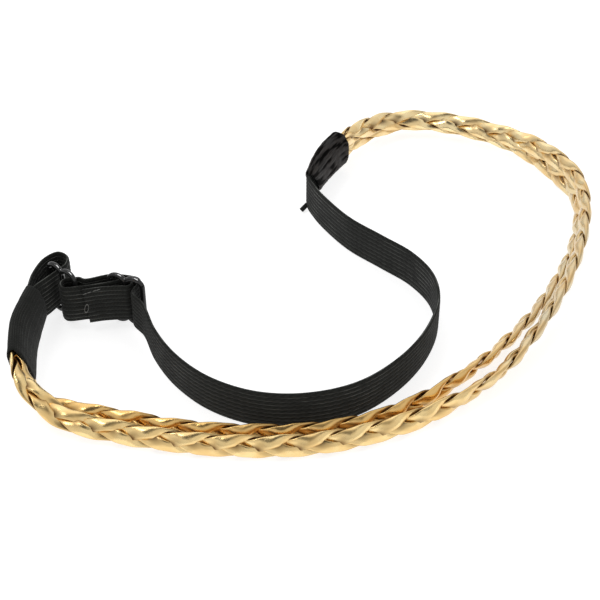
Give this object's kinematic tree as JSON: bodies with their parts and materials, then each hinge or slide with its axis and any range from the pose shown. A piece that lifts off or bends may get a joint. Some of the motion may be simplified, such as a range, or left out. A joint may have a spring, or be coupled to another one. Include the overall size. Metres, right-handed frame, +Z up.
{
  "type": "braided headband",
  "caption": "Headband of parallel gold leatherette plaits, held by cloth covers and closed into a loop by a ribbed black elastic strap with wire sliders.",
  "frame": {"origin": "on the table, under the middle of the whole loop's outline", "axes": "+Z up from the table, +X along the loop's longest side, +Y from the near plaits to the far ones"},
  "size_m": [0.1376, 0.1256, 0.0145],
  "materials": {
    "gold_leatherette": "metallic gold",
    "cover_cloth": "smooth",
    "black_elastic": "ribbed",
    "slider_wire": "gloss"
  },
  "bodies": {
    "root": {"front_plait_strand_1": "gold_leatherette", "front_plait_strand_2": "gold_leatherette", "front_plait_strand_3": "gold_leatherette", "back_plait_strand_1": "gold_leatherette", "back_plait_strand_2": "gold_leatherette", "back_plait_strand_3": "gold_leatherette", "left_cover": "cover_cloth", "far_cover": "cover_cloth", "elastic_strap": "black_elastic", "tab_loop": "black_elastic", "left_slider": "slider_wire", "strap_slider": "slider_wire"}
  },
  "joints": []
}
